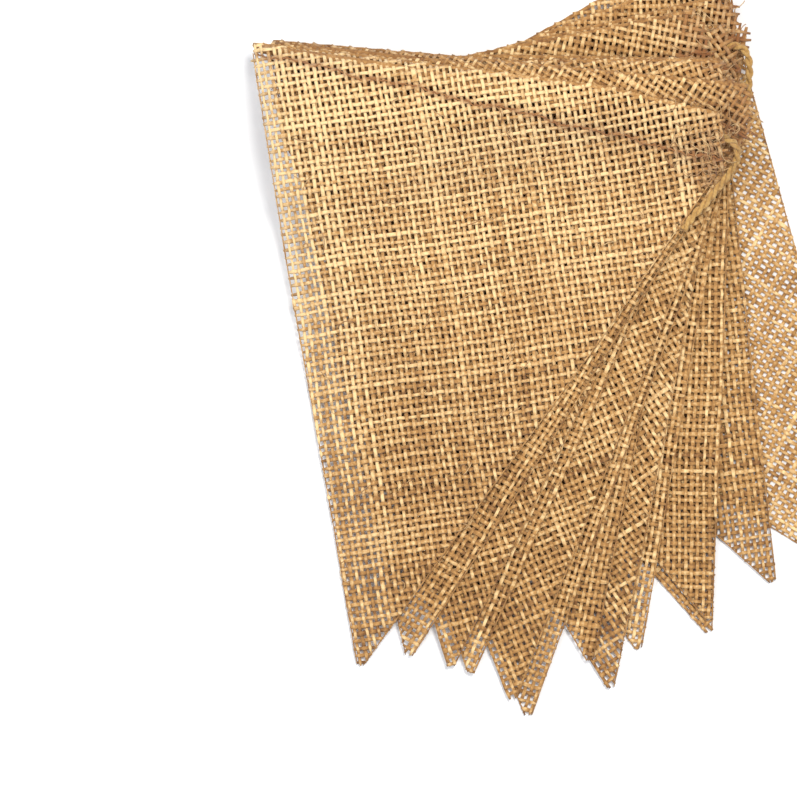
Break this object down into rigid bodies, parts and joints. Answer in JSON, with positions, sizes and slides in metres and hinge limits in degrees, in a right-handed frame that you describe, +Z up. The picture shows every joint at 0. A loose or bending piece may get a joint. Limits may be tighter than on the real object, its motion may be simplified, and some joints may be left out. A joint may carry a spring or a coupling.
{
  "type": "fabric bunting",
  "caption": "Fanned stack of triangular open-weave jute pennants with sewn top casings, threaded on jute twine.",
  "frame": {"origin": "Under the middle of the stack's bounding box, on the surface that the stack lies on.", "axes": "+Z up off the surface; +Y along the stack away from the pennants' points, up in the picture; +X to the picture's right."},
  "size_m": [0.1962, 0.2356, 0.0427],
  "materials": {
    "jute_cloth": "plain open-weave jute hessian, undyed golden tan, dry and fibrous, raw cut edges",
    "jute_twine": "twisted jute twine, undyed golden brown, hairy"
  },
  "bodies": {
    "root": {"pennant_01": "jute_cloth", "pennant_02": "jute_cloth", "pennant_03": "jute_cloth", "pennant_04": "jute_cloth", "pennant_05": "jute_cloth", "pennant_06": "jute_cloth", "pennant_07": "jute_cloth", "pennant_08": "jute_cloth", "pennant_09": "jute_cloth", "pennant_10": "jute_cloth", "pennant_11": "jute_cloth", "pennant_12": "jute_cloth", "pennant_13": "jute_cloth", "twine_front": "jute_twine", "twine_loop": "jute_twine"}
  },
  "joints": []
}
